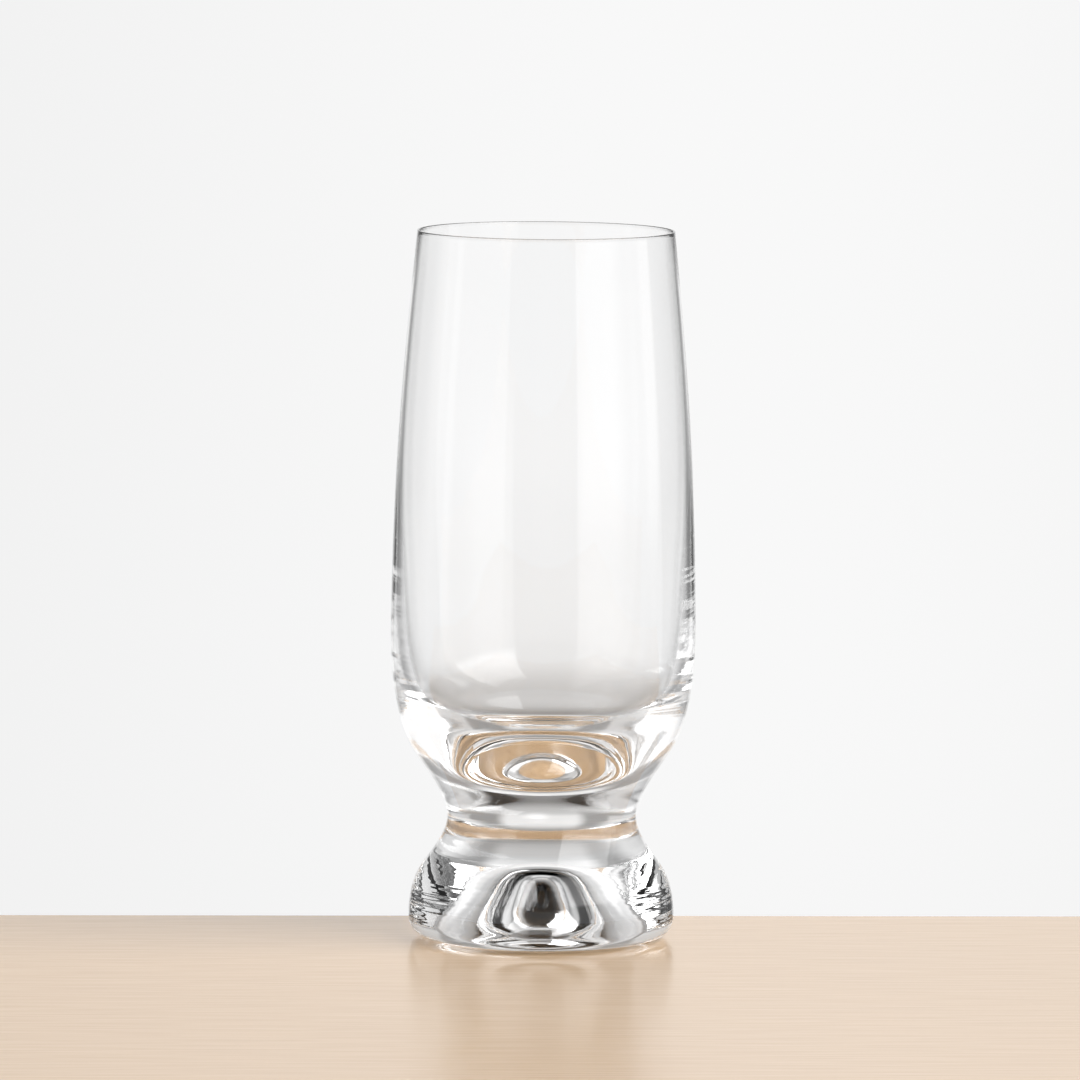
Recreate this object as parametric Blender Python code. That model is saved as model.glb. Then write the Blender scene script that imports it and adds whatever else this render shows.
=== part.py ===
"""Tall waisted glass for long cocktails: a blown bowl with a heavy floor, joined hot to a pressed foot."""

import math

import bmesh
import bpy
import numpy as np

MM = 0.001

# Outside of the glass
HEIGHT = 165.0 * MM
RIM_RADIUS = 29.9 * MM
BELLY_RADIUS = 35.4 * MM
BELLY_HEIGHT = 78.0 * MM
WAIST_RADIUS = 22.0 * MM
WAIST_HEIGHT = 28.8 * MM
FOOT_RADIUS = 30.9 * MM
FOOT_HEIGHT = 6.5 * MM
SEAT_RADIUS = 24.3 * MM

# Inside of the bowl
RIM_WALL = 0.9 * MM
FLOOR_HEIGHT = 39.45 * MM

# Hollow pressed into the underside of the foot
PUNT_RADIUS = 19.0 * MM
PUNT_DEPTH = 11.85 * MM

# Flat joint at the waist, where bowl and foot meet
JOINT_HEIGHT = WAIST_HEIGHT
JOINT_GAP = 0.3 * MM

# Fineness of the turned surfaces
SEGMENTS = 64
RING_SPACING = 8.0 * MM
RING_TURN = math.radians(9.0)
RIM_RINGS = 6
CURVE_SAMPLES = 4001

# Clear colourless glass
GLASS_COLOUR = (0.96, 0.98, 0.98, 1.0)
GLASS_ROUGHNESS = 0.02
GLASS_IOR = 1.52
SHARP_ANGLE = math.radians(35.0)


def outside_knots():
    """Radius and height of the knots that the outer side follows, from the rim down to its seat."""
    return [
        (RIM_RADIUS, HEIGHT - RIM_WALL / 2),
        (33.5 * MM, 124.0 * MM),
        (BELLY_RADIUS, BELLY_HEIGHT),
        (34.6 * MM, 58.5 * MM),
        (31.0 * MM, 46.0 * MM),
        (24.1 * MM, 35.0 * MM),
        (WAIST_RADIUS, WAIST_HEIGHT),
        (24.3 * MM, 22.0 * MM),
        (29.0 * MM, 15.0 * MM),
        (FOOT_RADIUS, FOOT_HEIGHT),
        (30.0 * MM, 2.0 * MM),
        (27.8 * MM, 0.55 * MM),
        (SEAT_RADIUS, 0.0),
    ]


def inside_knots():
    """Knots of the bowl's inner side, from the rim down to the middle of its floor."""
    return [
        (RIM_RADIUS - RIM_WALL, HEIGHT - RIM_WALL / 2),
        (32.1 * MM, 130.0 * MM),
        (33.2 * MM, 100.0 * MM),
        (32.7 * MM, 80.9 * MM),
        (32.2 * MM, 70.9 * MM),
        (30.95 * MM, 62.0 * MM),
        (29.0 * MM, 56.3 * MM),
        (26.05 * MM, 52.3 * MM),
        (22.4 * MM, 48.9 * MM),
        (17.8 * MM, 45.05 * MM),
        (12.65 * MM, 41.95 * MM),
        (6.95 * MM, 40.15 * MM),
        (0.0, FLOOR_HEIGHT),
    ]


def punt_knots():
    """Knots of the hollow under the foot, from its mouth up to its crown."""
    return [
        (PUNT_RADIUS, 0.0),
        (18.1 * MM, 0.7 * MM),
        (16.4 * MM, 2.9 * MM),
        (14.55 * MM, 4.9 * MM),
        (12.45 * MM, 6.7 * MM),
        (10.25 * MM, 8.35 * MM),
        (7.9 * MM, 9.8 * MM),
        (5.4 * MM, 11.0 * MM),
        (2.75 * MM, 11.65 * MM),
        (0.0, PUNT_DEPTH),
    ]


def spline(knots):
    """Points close together along the natural cubic spline through the knots."""
    knots = np.array(knots)
    spans = np.linalg.norm(np.diff(knots, axis=0), axis=1)
    starts = np.concatenate(([0.0], np.cumsum(spans)))
    system = np.eye(len(knots))
    slopes = np.zeros_like(knots)
    for i in range(1, len(knots) - 1):
        system[i, i - 1:i + 2] = spans[i - 1], 2 * (spans[i - 1] + spans[i]), spans[i]
        ahead = (knots[i + 1] - knots[i]) / spans[i]
        behind = (knots[i] - knots[i - 1]) / spans[i - 1]
        slopes[i] = 6 * (ahead - behind)
    bends = np.linalg.solve(system, slopes)
    along = np.linspace(0.0, starts[-1], CURVE_SAMPLES)
    piece = np.clip(np.searchsorted(starts, along) - 1, 0, len(spans) - 1)
    span = spans[piece][:, None]
    after = (along - starts[piece])[:, None] / span
    before = 1.0 - after
    straight = before * knots[piece] + after * knots[piece + 1]
    curved = (before**3 - before) * bends[piece] + (after**3 - after) * bends[piece + 1]
    return straight + curved * span**2 / 6


def spline_to_axis(knots):
    """The same for knots that end on the axis, which the curve crosses square."""
    mirrored = [(-radius, height) for radius, height in reversed(knots[:-1])]
    half = spline(knots + mirrored)[:CURVE_SAMPLES // 2 + 1]
    half[-1, 0] = 0.0
    return half


def stations(points):
    """Fewer points of a curve, close where it bends and wide apart where it runs straight."""
    steps = np.diff(points, axis=0)
    lengths = np.linalg.norm(steps, axis=1)
    headings = np.unwrap(np.arctan2(steps[:, 1], steps[:, 0]))
    turns = np.abs(np.diff(headings, prepend=headings[0]))
    effort = np.concatenate(([0.0], np.cumsum(lengths / RING_SPACING + turns / RING_TURN)))
    wanted = np.linspace(0.0, effort[-1], math.ceil(effort[-1]) + 1)
    columns = [np.interp(wanted, effort, points[:, axis]) for axis in range(2)]
    return np.column_stack(columns)


def cut_at(points, height, keep_above):
    """The part of the outer side above or below a height, ending exactly there."""
    radius = np.interp(-height, -points[:, 1], points[:, 0])
    end = np.array([[radius, height]])
    if keep_above:
        return np.vstack((points[points[:, 1] > height], end))
    return np.vstack((end, points[points[:, 1] < height]))


def rim_arc():
    """The fire-polished lip: half a circle from the inner side over to the outer side."""
    lip = RIM_WALL / 2
    angles = np.linspace(math.pi, 0.0, RIM_RINGS + 1)[1:-1]
    radii = RIM_RADIUS - lip + lip * np.cos(angles)
    heights = HEIGHT - lip + lip * np.sin(angles)
    return np.column_stack((radii, heights))


def bowl_outline():
    """From the middle of the floor up the inner side, over the lip and down to the joint."""
    joint = JOINT_HEIGHT + JOINT_GAP / 2
    inner = stations(spline_to_axis(inside_knots()))[::-1]
    outer = stations(cut_at(spline(outside_knots()), joint, keep_above=True))
    return np.vstack((inner, rim_arc(), outer, [(0.0, joint)]))


def foot_outline():
    """From the middle of the joint down the outer side, across the seat and up into the hollow."""
    joint = JOINT_HEIGHT - JOINT_GAP / 2
    outer = stations(cut_at(spline(outside_knots()), joint, keep_above=False))
    hollow = stations(spline_to_axis(punt_knots()))
    return np.vstack(([(0.0, joint)], outer, hollow))


def glass_material(name):
    """Clear glass for one piece."""
    material = bpy.data.materials.new(name)
    material.use_nodes = True
    shader = material.node_tree.nodes["Principled BSDF"]
    shader.inputs["Base Color"].default_value = GLASS_COLOUR
    shader.inputs["Roughness"].default_value = GLASS_ROUGHNESS
    shader.inputs["Metallic"].default_value = 0.0
    shader.inputs["IOR"].default_value = GLASS_IOR
    shader.inputs["Transmission Weight"].default_value = 1.0
    return material


def turned_piece(name, outline, parent):
    """A solid of revolution about Z from an outline that starts and ends on the axis."""
    shape = bmesh.new()
    corners = [shape.verts.new((radius, 0.0, height)) for radius, height in outline]
    sides = [shape.edges.new(pair) for pair in zip(corners, corners[1:])]
    bmesh.ops.spin(
        shape,
        geom=corners + sides,
        cent=(0.0, 0.0, 0.0),
        axis=(0.0, 0.0, 1.0),
        angle=math.tau,
        steps=SEGMENTS,
        use_merge=True,
    )
    bmesh.ops.remove_doubles(shape, verts=shape.verts, dist=0.001 * MM)
    bmesh.ops.recalc_face_normals(shape, faces=shape.faces)
    mesh = bpy.data.meshes.new(name)
    shape.to_mesh(mesh)
    shape.free()
    mesh.shade_smooth()
    mesh.set_sharp_from_angle(angle=SHARP_ANGLE)
    mesh.materials.append(glass_material(name + "_glass"))
    piece = bpy.data.objects.new(name, mesh)
    piece.parent = parent
    bpy.context.scene.collection.objects.link(piece)
    return piece


def clear_scene():
    """Starts from an empty scene."""
    for thing in list(bpy.data.objects):
        bpy.data.objects.remove(thing, do_unlink=True)


def main():
    clear_scene()
    glass = bpy.data.objects.new("glass", None)
    bpy.context.scene.collection.objects.link(glass)
    turned_piece("bowl", bowl_outline(), glass)
    turned_piece("foot", foot_outline(), glass)


main()
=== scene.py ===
"""Looks of a tall waisted cocktail glass: clear fused glass on a pale board, in soft studio light."""

import math

import bpy
import numpy as np
from mathutils import Matrix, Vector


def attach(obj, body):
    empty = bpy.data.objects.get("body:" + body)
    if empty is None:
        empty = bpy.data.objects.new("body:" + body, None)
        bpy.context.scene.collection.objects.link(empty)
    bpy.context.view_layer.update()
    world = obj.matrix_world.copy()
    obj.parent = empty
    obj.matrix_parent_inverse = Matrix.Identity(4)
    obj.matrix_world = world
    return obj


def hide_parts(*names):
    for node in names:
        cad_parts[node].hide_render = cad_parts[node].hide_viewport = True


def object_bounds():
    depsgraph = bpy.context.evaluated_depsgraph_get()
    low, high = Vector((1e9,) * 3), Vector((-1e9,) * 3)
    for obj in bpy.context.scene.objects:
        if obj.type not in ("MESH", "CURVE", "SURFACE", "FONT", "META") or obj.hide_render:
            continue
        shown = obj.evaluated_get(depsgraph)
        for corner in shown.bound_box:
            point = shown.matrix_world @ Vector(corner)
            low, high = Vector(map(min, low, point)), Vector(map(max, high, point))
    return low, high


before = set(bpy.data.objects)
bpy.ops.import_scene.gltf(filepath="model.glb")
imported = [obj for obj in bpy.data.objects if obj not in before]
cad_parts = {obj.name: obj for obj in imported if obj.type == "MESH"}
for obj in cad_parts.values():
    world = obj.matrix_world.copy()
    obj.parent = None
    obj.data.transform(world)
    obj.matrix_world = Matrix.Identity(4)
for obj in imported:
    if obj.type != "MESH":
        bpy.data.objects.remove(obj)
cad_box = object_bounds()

MM = 0.001
MICRON = 0.000001
UP = (0.0, 0.0, 1.0)
DOWN = (0.0, 0.0, -1.0)

# Fineness of the turned glass
SEGMENTS = 192
RING_SPACING = 1.3 * MM
RIPPLED_SPACING = 0.32 * MM
RING_TURN = math.radians(3.2)
CURVE_SAMPLES = 30001
SAME_PLACE = 1.0 * MICRON

# Lip of the bowl: how far down it reaches on the solid, the share of its width that the fine lip keeps,
# and the height over which the wall thins towards it
LIP_HEIGHT = 0.46 * MM
LIP_SHARE = 0.6
LIP_TAPER = 14.0 * MM

# Chill ripples, left where the hot glass met the mould: depth by height outside, by reach in the hollow
RIPPLED_BELOW = 105.0 * MM
OUTER_HEIGHTS = np.array((0.0, 3.0, 8.0, 20.0, 27.0, 36.0, 46.0, 60.0, 90.0, 105.0)) * MM
OUTER_DEPTHS = np.array((0.0, 14.0, 30.0, 28.0, 4.0, 3.0, 10.0, 10.0, 6.0, 0.0)) * MICRON
HOLLOW_REACH = np.array((0.0, 0.1, 0.6, 1.0))
HOLLOW_DEPTHS = np.array((0.0, 12.0, 9.0, 0.0)) * MICRON
# Ripples are deepest at the mould's two seams, taken to be on the left and right, and this share between them
RIPPLE_LEAST = 0.25
# Each wave's length, how far it sways, how often it sways on its way round, and where it starts
RIPPLE_WAVES = ((1.3 * MM, 1.4, 2, 0.3), (2.1 * MM, 2.0, 3, 1.9), (3.9 * MM, 2.4, 1, 4.0))

# Clear glass with the faint waviness of a fire-polished surface
GLASS_IOR = 1.52
GLASS_TINT = (0.996, 0.997, 0.998, 1.0)
GLASS_ROUGHNESS = 0.0
WAVINESS_STRETCH = (1.0, 1.0, 1.6)
WAVINESS_SCALE = 90.0
WAVINESS_DETAIL = 1.0
WAVINESS_HEIGHT = 1.5 * MICRON

# Places of the two materials on each piece
GLASS_SLOT = 0
JOINT_SLOT = 1

# Board, turned a little to the camera, and a painted pool of light: the board glows under the glass's foot
BOARD_WIDTH = 0.62
BOARD_FRONT = 0.42
BOARD_BACK = 33.0 * MM
BOARD_THICKNESS = 25.0 * MM
BOARD_TURN = math.radians(2.6)
BOARD_DROP = 0.05 * MM
PAINTED_POOL_RADIUS = 23.0 * MM
PAINTED_POOL_EDGE = 29.0 * MM
PAINTED_POOL_GLOW = 0.26

# Satin maple of the board, with the part of the grain's noise that its colours span
WOOD_DARK = (0.86, 0.58, 0.335, 1.0)
WOOD_LIGHT = (0.94, 0.66, 0.405, 1.0)
WOOD_IOR = 1.6
WOOD_ROUGHNESS = (0.19, 0.25)
GRAIN_STRETCH = (0.05, 1.0, 1.0)
GRAIN_SCALE = 700.0
GRAIN_DETAIL = 6.0
GRAIN_SPAN = (0.3, 0.7)
GRAIN_HEIGHT = 4.0 * MICRON

# Camera, from the rim's ellipse and the foot's lower edge in the photograph
CAMERA_DISTANCE = 2.146
CAMERA_SIDE = -0.91 * MM
CAMERA_HEIGHT = 0.316
CAMERA_PITCH = math.radians(5.936)
CAMERA_ROLL = math.radians(0.45)
CAMERA_LENS = 309.6
CAMERA_SENSOR = 36.0

# Bounces that let light cross the thick glass, and the fineness at which the studio is sampled
GLASS_BOUNCES = 32
STUDIO_MAP = 512
HALF_TURN = 180.0
DEGREES = 180.0 / math.pi

# Light of the studio by direction, in degrees. Azimuth runs from the camera towards the right. Each light has
# the azimuth of its middle, half its width, half the width over which its sides fade, the elevations over
# which its lower and upper edges fade, and its strength.
STUDIO_LIGHTS = {
    "room": {
        "azimuth": 0.0, "half": 200.0, "side": 1.0,
        "low": (-92.0, -91.0), "high": (22.0, 50.0), "light": 0.32,
    },
    "floor": {
        "azimuth": 0.0, "half": 146.0, "side": 10.0,
        "low": (-92.0, -91.0), "high": (-14.0, -7.0), "light": 0.5,
    },
    "floor_behind": {
        "azimuth": 180.0, "half": 34.0, "side": 10.0,
        "low": (-92.0, -91.0), "high": (-58.0, -46.0), "light": 0.5,
    },
    "backdrop": {
        "azimuth": 180.0, "half": 18.0, "side": 4.0,
        "low": (-42.0, -10.0), "high": (8.0, 34.0), "light": 0.56,
    },
    "backdrop_glow": {
        "azimuth": 178.9, "half": 3.0, "side": 2.8,
        "low": (-12.0, -6.5), "high": (12.0, 24.0), "light": 0.06,
    },
    "table_glow": {
        "azimuth": 177.5, "half": 4.0, "side": 3.8,
        "low": (3.0, 7.0), "high": (14.0, 26.0), "light": 0.2,
    },
    "left_wall": {
        "azimuth": -112.0, "half": 34.0, "side": 2.5,
        "low": (-15.0, -8.0), "high": (4.0, 16.0), "light": 0.34,
    },
    "right_wall": {
        "azimuth": 115.0, "half": 26.0, "side": 2.5,
        "low": (-15.0, -8.0), "high": (4.0, 16.0), "light": 0.3,
    },
    "back_top": {
        "azimuth": 180.0, "half": 100.0, "side": 20.0,
        "low": (18.0, 34.0), "high": (46.0, 56.0), "light": 0.33,
    },
    "left_top": {
        "azimuth": -90.0, "half": 50.0, "side": 20.0,
        "low": (14.0, 24.0), "high": (50.0, 60.0), "light": 0.35,
    },
    "front": {
        "azimuth": -40.0, "half": 66.0, "side": 10.0,
        "low": (-15.0, -8.0), "high": (8.0, 14.0), "light": 0.5,
    },
    "left_window": {
        "azimuth": -58.0, "half": 27.0, "side": 0.8,
        "low": (-15.0, -9.0), "high": (28.0, 36.0), "light": 0.36,
    },
    "softbox": {
        "azimuth": 64.0, "half": 38.0, "side": 1.5,
        "low": (-15.0, -8.0), "high": (52.0, 58.0), "light": 0.75,
    },
    "softbox_middle": {
        "azimuth": 46.0, "half": 18.0, "side": 9.0,
        "low": (-15.0, -6.0), "high": (20.0, 45.0), "light": 0.6,
    },
    "softbox_top": {
        "azimuth": 60.0, "half": 34.0, "side": 1.5,
        "low": (12.0, 20.0), "high": (58.0, 64.0), "light": 3.0,
    },
}


def half_plane_outline(node, first):
    """Radius and height of a CAD node's outline, walked along its mesh edges from the axis to the joint."""
    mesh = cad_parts[node].data
    corners = np.array([vertex.co for vertex in mesh.vertices])
    on_plane = (np.abs(corners[:, 1]) < SAME_PLACE) & (corners[:, 0] > -SAME_PLACE)
    keys = [(round(x / SAME_PLACE), round(z / SAME_PLACE)) for x, y, z in corners]
    links = {}
    for edge in mesh.edges:
        a, b = edge.vertices
        if on_plane[a] and on_plane[b] and keys[a] != keys[b]:
            links.setdefault(keys[a], set()).add(keys[b])
            links.setdefault(keys[b], set()).add(keys[a])
    path = [first((key for key in links if key[0] == 0), key=lambda key: key[1])]
    while True:
        ahead = [key for key in links[path[-1]] if key not in path and key[0] > 0]
        if not ahead:
            return np.array(path) * SAME_PLACE
        path.append(ahead[0])


def spline(knots):
    """Points close together along the natural cubic spline through the knots."""
    spans = np.linalg.norm(np.diff(knots, axis=0), axis=1)
    starts = np.concatenate(([0.0], np.cumsum(spans)))
    system = np.eye(len(knots))
    slopes = np.zeros_like(knots)
    for i in range(1, len(knots) - 1):
        system[i, i - 1:i + 2] = spans[i - 1], 2 * (spans[i - 1] + spans[i]), spans[i]
        ahead = (knots[i + 1] - knots[i]) / spans[i]
        behind = (knots[i] - knots[i - 1]) / spans[i - 1]
        slopes[i] = 6 * (ahead - behind)
    bends = np.linalg.solve(system, slopes)
    along = np.linspace(0.0, starts[-1], CURVE_SAMPLES)
    piece = np.clip(np.searchsorted(starts, along) - 1, 0, len(spans) - 1)
    span = spans[piece][:, None]
    after = (along - starts[piece])[:, None] / span
    before = 1.0 - after
    straight = before * knots[piece] + after * knots[piece + 1]
    curved = (before**3 - before) * bends[piece] + (after**3 - after) * bends[piece + 1]
    return straight + curved * span**2 / 6


def smooth_curve(knots, axis_at_start=False, axis_at_end=False):
    """A smooth stretch of the outline, square to the axis where it meets it."""
    mirror = np.array([-1.0, 1.0])
    before = knots[:0:-1] * mirror if axis_at_start else knots[:0]
    after = knots[-2::-1] * mirror if axis_at_end else knots[:0]
    curve = spline(np.vstack((before, knots, after)))
    if axis_at_start:
        curve = curve[len(curve) // 2:]
        curve[0, 0] = 0.0
    if axis_at_end:
        curve = curve[:len(curve) // 2 + 1]
        curve[-1, 0] = 0.0
    return curve


def stations(points, rippled):
    """Fewer points of a curve: close where it bends or is rippled, wider apart where it runs straight."""
    steps = np.diff(points, axis=0)
    lengths = np.linalg.norm(steps, axis=1)
    headings = np.unwrap(np.arctan2(steps[:, 1], steps[:, 0]))
    turns = np.abs(np.diff(headings, prepend=headings[0]))
    spacing = np.where(rippled[1:], RIPPLED_SPACING, RING_SPACING)
    effort = np.concatenate(([0.0], np.cumsum(lengths / spacing + turns / RING_TURN)))
    wanted = np.linspace(0.0, effort[-1], math.ceil(effort[-1]) + 1)
    columns = [np.interp(wanted, effort, points[:, axis]) for axis in range(2)]
    return np.column_stack(columns)


def arc_lengths(rings):
    """Way along the outline from its first ring to each ring."""
    return np.concatenate(([0.0], np.cumsum(np.linalg.norm(np.diff(rings, axis=0), axis=1))))


def ring_angles():
    """Angle of every point on a ring."""
    return np.linspace(0.0, math.tau, SEGMENTS, endpoint=False)


def ripples(along):
    """Uneven waves across the outline, from 0 at their crests to -1 in their deepest troughs."""
    total = 0.0
    for length, sway, times, start in RIPPLE_WAVES:
        wander = sway * np.sin(times * ring_angles() + start)
        total = total + np.sin(math.tau * along[:, None] / length + wander)
    near_seams = RIPPLE_LEAST + (1.0 - RIPPLE_LEAST) * np.cos(ring_angles()) ** 2
    return near_seams * (total / (2 * len(RIPPLE_WAVES)) - 0.5)


def turned_grid(rings, depths):
    """Points and outward normals on every ring of a run, up inside the glass and down outside it."""
    along = arc_lengths(rings)
    tangents = np.gradient(rings, along, axis=0, edge_order=2)
    outward = np.column_stack((-tangents[:, 1], tangents[:, 0]))
    offset = depths[:, None] * ripples(along)
    radii = np.maximum(rings[:, :1] + outward[:, :1] * offset, 0.0)
    heights = rings[:, 1:] + outward[:, 1:] * offset
    angles = ring_angles()
    points = np.stack((radii * np.cos(angles), radii * np.sin(angles), heights), axis=2)
    forward = np.gradient(points, along, axis=0, edge_order=2)
    around = np.roll(points, -1, axis=1) - np.roll(points, 1, axis=1)
    normals = np.cross(forward, around)
    lengths = np.linalg.norm(normals, axis=2, keepdims=True)
    on_axis = rings[:, 0] == 0.0
    normals = normals / np.where(on_axis[:, None, None], 1.0, lengths)
    upright = np.zeros((len(rings), 1, 3))
    upright[:, 0, 2] = np.sign(outward[:, 1])
    normals[on_axis] = upright[on_axis]
    return points, normals


class Turned:
    """A closed solid of revolution, gathered ring by ring, with its own normal at every corner."""

    def __init__(self):
        self.points = []
        self.point_normals = []
        self.faces = []
        self.corner_normals = []
        self.slots = []

    def add_ring(self, points, normals):
        """Vertices of one ring, or a single vertex on the axis."""
        on_axis = points[0, 0] == 0.0
        count = 1 if on_axis else SEGMENTS
        first = len(self.points)
        self.points.extend(points[:count].tolist())
        self.point_normals.extend(normals[:count].tolist())
        return np.resize(np.arange(first, first + count), SEGMENTS).tolist()

    def add_centre(self, height):
        """A vertex on the axis, in the middle of a flat face."""
        self.points.append((0.0, 0.0, height))
        self.point_normals.append(UP)
        return [len(self.points) - 1] * SEGMENTS

    def add_strip(self, upper, lower, flat=None, slot=GLASS_SLOT):
        """Faces between two rings, curved as their points say or flat."""
        for k in range(SEGMENTS):
            n = (k + 1) % SEGMENTS
            corners = list(dict.fromkeys((upper[k], lower[k], lower[n], upper[n])))
            self.faces.append(corners)
            self.corner_normals.extend(flat or self.point_normals[corner] for corner in corners)
            self.slots.append(slot)

    def add_run(self, points, normals):
        """Rings along a run with the faces between them; gives the first and the last ring."""
        indices = [self.add_ring(*ring) for ring in zip(points, normals)]
        for upper, lower in zip(indices, indices[1:]):
            self.add_strip(upper, lower)
        return indices[0], indices[-1]

    def to_object(self, name, materials):
        """The solid as an object in the scene."""
        mesh = bpy.data.meshes.new(name)
        mesh.from_pydata(self.points, [], self.faces)
        mesh.polygons.foreach_set("material_index", self.slots)
        mesh.shade_smooth()
        mesh.normals_split_custom_set(self.corner_normals)
        for material in materials:
            mesh.materials.append(material)
        mesh.validate()
        thing = bpy.data.objects.new(name, mesh)
        bpy.context.scene.collection.objects.link(thing)
        return thing


def past_the_rim(outline):
    """Which points of the shell's outline come after the top of the rim, on its outer side."""
    return np.arange(len(outline)) > np.argmax(outline[:, 1])


def with_ring_at(rings, height):
    """The rings with one more on the outer side at a height, and its number."""
    after_rim = np.argmax(rings[:, 1])
    cut = after_rim + np.argmax(rings[after_rim:, 1] < height)
    high, low = rings[cut - 1], rings[cut]
    share = (high[1] - height) / (high[1] - low[1])
    return np.insert(rings, cut, high + share * (low - high), axis=0), cut


def shell_curve(path):
    """Smooth outline from the middle of the bowl's floor up, over a fine lip and down to the seat."""
    top = path[:, 1].max()
    lip = np.flatnonzero(path[:, 1] > top - LIP_HEIGHT)
    wall = path[lip[-1], 0] - path[lip[0], 0]
    inside = smooth_curve(path[:lip[0] + 1], axis_at_start=True)
    near_lip = np.clip((inside[:, 1] - top + LIP_TAPER) / LIP_TAPER, 0.0, 1.0)
    inside[:, 0] += (1.0 - LIP_SHARE) * wall * near_lip**2
    lip_edge = np.array((path[lip[-1], 0], top))
    over_lip = lip_edge + LIP_SHARE * (smooth_curve(path[lip[0]:lip[-1] + 1]) - lip_edge)
    down = smooth_curve(path[lip[-1]:])
    curve = np.vstack((inside, over_lip, down))
    curve[:, 0] *= cad_box[1][0] / curve[:, 0].max()
    return curve


def shell_rings(bowl_path, foot_path, joint_height):
    """Rings along the shell's outline, with one at the joint, and the number of that one."""
    curve = shell_curve(np.vstack((bowl_path, foot_path)))
    rings = stations(curve, past_the_rim(curve) & (curve[:, 1] < RIPPLED_BELOW))
    return with_ring_at(rings, joint_height)


def bowl_solid(points, normals, joint_height):
    """The bowl from its floor up, over the rim and down to the joint, closed across the joint."""
    bowl = Turned()
    floor, waist = bowl.add_run(points, normals)
    bowl.add_strip(waist, bowl.add_centre(joint_height), DOWN, JOINT_SLOT)
    return bowl


def foot_solid(points, normals, hollow_path, joint_height):
    """The foot from the joint down to its seat and up into its hollow, closed across the joint."""
    foot = Turned()
    waist, heel = foot.add_run(points, normals)
    foot.add_strip(foot.add_centre(joint_height), waist, UP, JOINT_SLOT)
    curve = smooth_curve(hollow_path, axis_at_end=True)
    rings = stations(curve, np.full(len(curve), True))
    reach = arc_lengths(rings) / arc_lengths(rings)[-1]
    depths = np.interp(reach, HOLLOW_REACH, HOLLOW_DEPTHS)
    mouth, crown = foot.add_run(*turned_grid(rings, depths))
    foot.add_strip(heel, mouth, DOWN)
    return foot


def glass_pieces():
    """Bowl and foot as two closed solids that meet on the joint plane, from the CAD outlines."""
    bowl_path = half_plane_outline("bowl", max)
    foot_path = half_plane_outline("foot", min)[::-1]
    seat = np.flatnonzero(foot_path[:, 1] < SAME_PLACE)
    joint_height = (bowl_path[-1, 1] + foot_path[0, 1]) / 2
    rings, joint = shell_rings(bowl_path, foot_path[:seat[0] + 1], joint_height)
    outer_depths = np.interp(rings[:, 1], OUTER_HEIGHTS, OUTER_DEPTHS)
    points, normals = turned_grid(rings, np.where(past_the_rim(rings), outer_depths, 0.0))
    bowl = bowl_solid(points[:joint + 1], normals[:joint + 1], joint_height)
    foot = foot_solid(points[joint:], normals[joint:], foot_path[seat[-1]:], joint_height)
    materials = [glass_material(), joint_material()]
    return bowl.to_object("glass_bowl", materials), foot.to_object("glass_foot", materials)


def new_material(name):
    """A new material, with its node tree and its Principled shader."""
    material = bpy.data.materials.new(name)
    material.use_nodes = True
    return material, material.node_tree, material.node_tree.nodes["Principled BSDF"]


def stretched_noise(tree, stretch, scale, detail):
    """Noise in the object's own space, stretched along each axis."""
    place = tree.nodes.new("ShaderNodeTexCoord")
    mapping = tree.nodes.new("ShaderNodeMapping")
    mapping.inputs["Scale"].default_value = stretch
    noise = tree.nodes.new("ShaderNodeTexNoise")
    noise.inputs["Scale"].default_value = scale
    noise.inputs["Detail"].default_value = detail
    tree.links.new(place.outputs["Object"], mapping.inputs["Vector"])
    tree.links.new(mapping.outputs["Vector"], noise.inputs["Vector"])
    return noise.outputs["Fac"]


def bump(tree, height, distance):
    """A normal from a height between 0 and 1."""
    node = tree.nodes.new("ShaderNodeBump")
    node.inputs["Distance"].default_value = distance
    tree.links.new(height, node.inputs["Height"])
    return node.outputs["Normal"]


def colour_between(tree, share, span, dark, light):
    """A colour from a noise, over a span of its range."""
    ramp = tree.nodes.new("ShaderNodeValToRGB")
    for element, position, colour in zip(ramp.color_ramp.elements, span, (dark, light)):
        element.position = position
        element.color = colour
    tree.links.new(share, ramp.inputs["Fac"])
    return ramp.outputs["Color"]


def mapped(tree, value, source=(0.0, 1.0), target=(0.0, 1.0), soft=False):
    """A number mapped from one range to another, straight or easing in and out."""
    node = tree.nodes.new("ShaderNodeMapRange")
    node.interpolation_type = "SMOOTHSTEP" if soft else "LINEAR"
    node.inputs["From Min"].default_value = source[0]
    node.inputs["From Max"].default_value = source[1]
    node.inputs["To Min"].default_value = target[0]
    node.inputs["To Max"].default_value = target[1]
    tree.links.new(value, node.inputs["Value"])
    return node.outputs["Result"]


def glass_material():
    """Clear colourless glass, fire-polished."""
    material, tree, shader = new_material("clear_glass")
    shader.inputs["Base Color"].default_value = GLASS_TINT
    shader.inputs["Roughness"].default_value = GLASS_ROUGHNESS
    shader.inputs["IOR"].default_value = GLASS_IOR
    shader.inputs["Transmission Weight"].default_value = 1.0
    waviness = stretched_noise(tree, WAVINESS_STRETCH, WAVINESS_SCALE, WAVINESS_DETAIL)
    tree.links.new(bump(tree, waviness, WAVINESS_HEIGHT), shader.inputs["Normal"])
    return material


def joint_material():
    """The fused joint: light goes straight through."""
    material = bpy.data.materials.new("fused_joint")
    material.use_nodes = True
    nodes = material.node_tree.nodes
    nodes.clear()
    through = nodes.new("ShaderNodeBsdfTransparent")
    output = nodes.new("ShaderNodeOutputMaterial")
    material.node_tree.links.new(through.outputs[0], output.inputs["Surface"])
    return material


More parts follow.
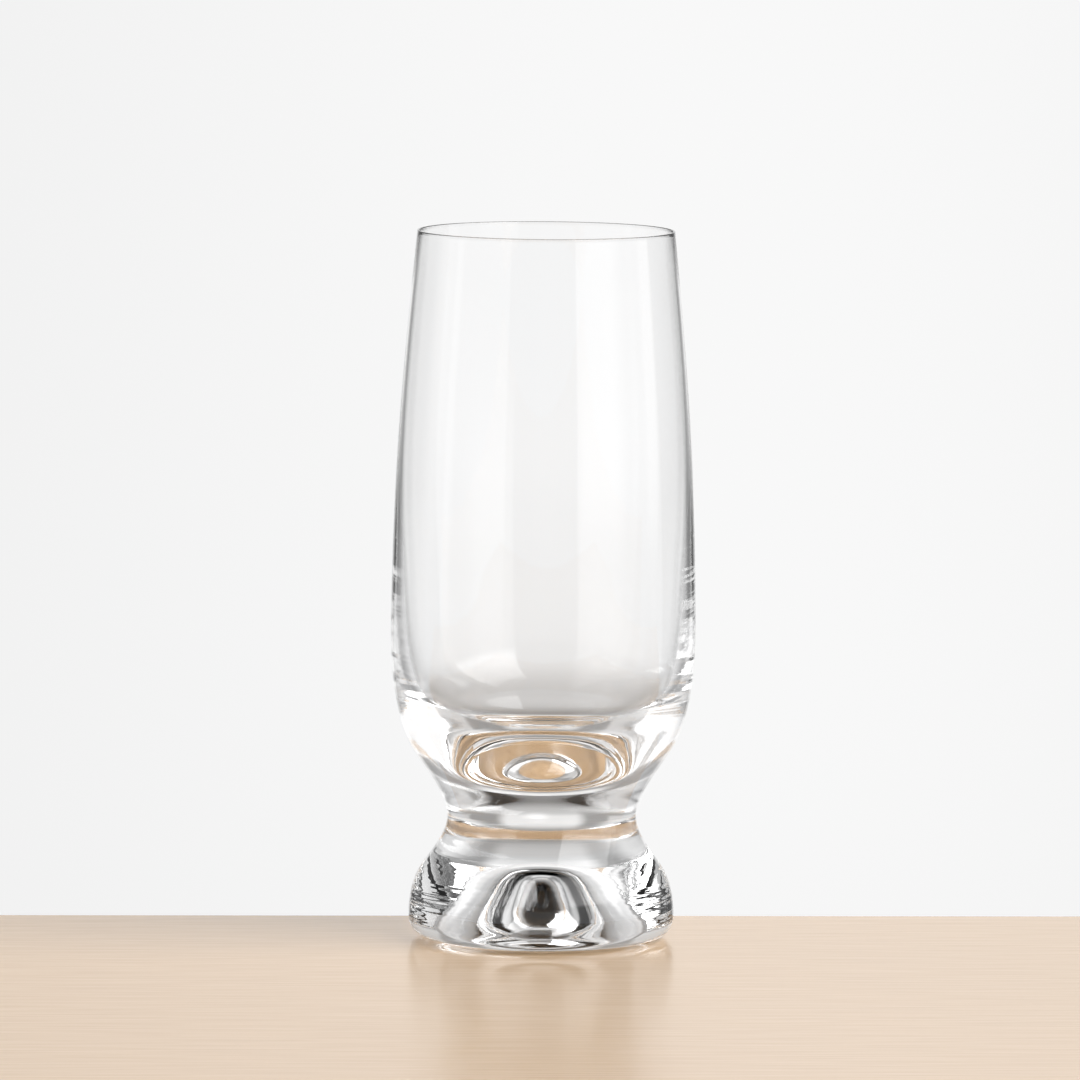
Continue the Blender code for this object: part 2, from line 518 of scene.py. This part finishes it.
def painted_pool_of_light(tree):
    """Strength of a painted pool of light: the board glows under the glass's foot."""
    place = tree.nodes.new("ShaderNodeTexCoord")
    reach = tree.nodes.new("ShaderNodeVectorMath")
    reach.operation = "LENGTH"
    tree.links.new(place.outputs["Object"], reach.inputs[0])
    return mapped(tree, reach.outputs["Value"], (PAINTED_POOL_RADIUS, PAINTED_POOL_EDGE), (PAINTED_POOL_GLOW, 0.0), soft=True)


def wood_material():
    """Pale satin maple with fine straight grain along the board, glowing in a painted pool of light under the
    foot.
    """
    material, tree, shader = new_material("board_wood")
    grain = stretched_noise(tree, GRAIN_STRETCH, GRAIN_SCALE, GRAIN_DETAIL)
    colour = colour_between(tree, grain, GRAIN_SPAN, WOOD_DARK, WOOD_LIGHT)
    tree.links.new(colour, shader.inputs["Base Color"])
    # Painted light: the board glows in its grain colours under the glass's foot
    tree.links.new(colour, shader.inputs["Emission Color"])
    tree.links.new(painted_pool_of_light(tree), shader.inputs["Emission Strength"])
    shader.inputs["IOR"].default_value = WOOD_IOR
    tree.links.new(mapped(tree, grain, target=WOOD_ROUGHNESS), shader.inputs["Roughness"])
    tree.links.new(bump(tree, grain, GRAIN_HEIGHT), shader.inputs["Normal"])
    return material


def stage():
    """A pale satin board under the glass."""
    low = (-BOARD_WIDTH / 2, -BOARD_FRONT, -BOARD_THICKNESS)
    high = (BOARD_WIDTH / 2, BOARD_BACK, -BOARD_DROP)
    corners = [(x, y, z) for x in (low[0], high[0]) for y in (low[1], high[1]) for z in (low[2], high[2])]
    faces = [(0, 1, 3, 2), (4, 6, 7, 5), (0, 4, 5, 1), (2, 3, 7, 6), (0, 2, 6, 4), (1, 5, 7, 3)]
    mesh = bpy.data.meshes.new("board")
    mesh.from_pydata(corners, [], faces)
    mesh.materials.append(wood_material())
    board = bpy.data.objects.new("board", mesh)
    board.rotation_euler.z = BOARD_TURN
    bpy.context.scene.collection.objects.link(board)


def calculate(tree, operation, *values):
    """The result of a math node on numbers and outputs of other nodes."""
    node = tree.nodes.new("ShaderNodeMath")
    node.operation = operation
    for value, socket in zip(values, node.inputs):
        if isinstance(value, bpy.types.NodeSocket):
            tree.links.new(value, socket)
        else:
            socket.default_value = value
    return node.outputs["Value"]


def studio_light(tree, azimuth, elevation, light):
    """Strength of one light in a direction."""
    off_middle = calculate(tree, "SUBTRACT", azimuth, light["azimuth"])
    aside = calculate(tree, "ABSOLUTE", calculate(tree, "WRAP", off_middle, HALF_TURN, -HALF_TURN))
    sides = (light["half"] + light["side"], light["half"] - light["side"])
    window = mapped(tree, aside, sides, soft=True)
    window = calculate(tree, "MULTIPLY", window, mapped(tree, elevation, light["low"], soft=True))
    window = calculate(tree, "MULTIPLY", window, mapped(tree, elevation, light["high"][::-1], soft=True))
    return calculate(tree, "MULTIPLY", window, light["light"])


def studio_world():
    """A softbox and a white backdrop in a dim room, as seen from the glass."""
    world = bpy.data.worlds.new("studio")
    world.use_nodes = True
    world.cycles.sampling_method = "MANUAL"
    world.cycles.sample_map_resolution = STUDIO_MAP
    bpy.context.scene.world = world
    tree = world.node_tree
    tree.nodes.clear()
    coordinates = tree.nodes.new("ShaderNodeTexCoord")
    parts = tree.nodes.new("ShaderNodeSeparateXYZ")
    tree.links.new(coordinates.outputs["Generated"], parts.inputs[0])
    x, y, z = parts.outputs
    turn = calculate(tree, "ARCTAN2", x, calculate(tree, "MULTIPLY", y, -1.0))
    azimuth = calculate(tree, "MULTIPLY", turn, DEGREES)
    elevation = calculate(tree, "MULTIPLY", calculate(tree, "ARCSINE", z), DEGREES)
    total = 0.0
    for light in STUDIO_LIGHTS.values():
        total = calculate(tree, "ADD", total, studio_light(tree, azimuth, elevation, light))
    background = tree.nodes.new("ShaderNodeBackground")
    tree.links.new(total, background.inputs["Strength"])
    background.inputs["Color"].default_value = (1.0, 1.0, 1.0, 1.0)
    output = tree.nodes.new("ShaderNodeOutputWorld")
    tree.links.new(background.outputs[0], output.inputs["Surface"])


def photo_camera():
    """The photograph's camera: long lens, a little above the glass, turned by a hair."""
    data = bpy.data.cameras.new("camera")
    data.lens = CAMERA_LENS
    data.sensor_width = CAMERA_SENSOR
    camera = bpy.data.objects.new("camera", data)
    bpy.context.scene.collection.objects.link(camera)
    place = Matrix.Translation((CAMERA_SIDE, -CAMERA_DISTANCE, CAMERA_HEIGHT))
    tilt = Matrix.Rotation(math.pi / 2 - CAMERA_PITCH, 4, "X")
    roll = Matrix.Rotation(CAMERA_ROLL, 4, "Z")
    camera.matrix_world = place @ tilt @ roll
    bpy.context.scene.camera = camera


def render_look():
    """Straight colours and enough bounces for light to cross the thick glass."""
    scene = bpy.context.scene
    scene.view_settings.view_transform = "Standard"
    scene.cycles.max_bounces = GLASS_BOUNCES
    scene.cycles.transmission_bounces = GLASS_BOUNCES
    scene.cycles.glossy_bounces = GLASS_BOUNCES
    scene.cycles.transparent_max_bounces = GLASS_BOUNCES


photo_camera()
stage()
studio_world()
render_look()
bowl, foot = glass_pieces()
for piece, node, slot in ((bowl, "bowl", "bowl_glass"), (foot, "foot", "foot_glass")):
    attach(piece, "root")
    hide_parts(node)
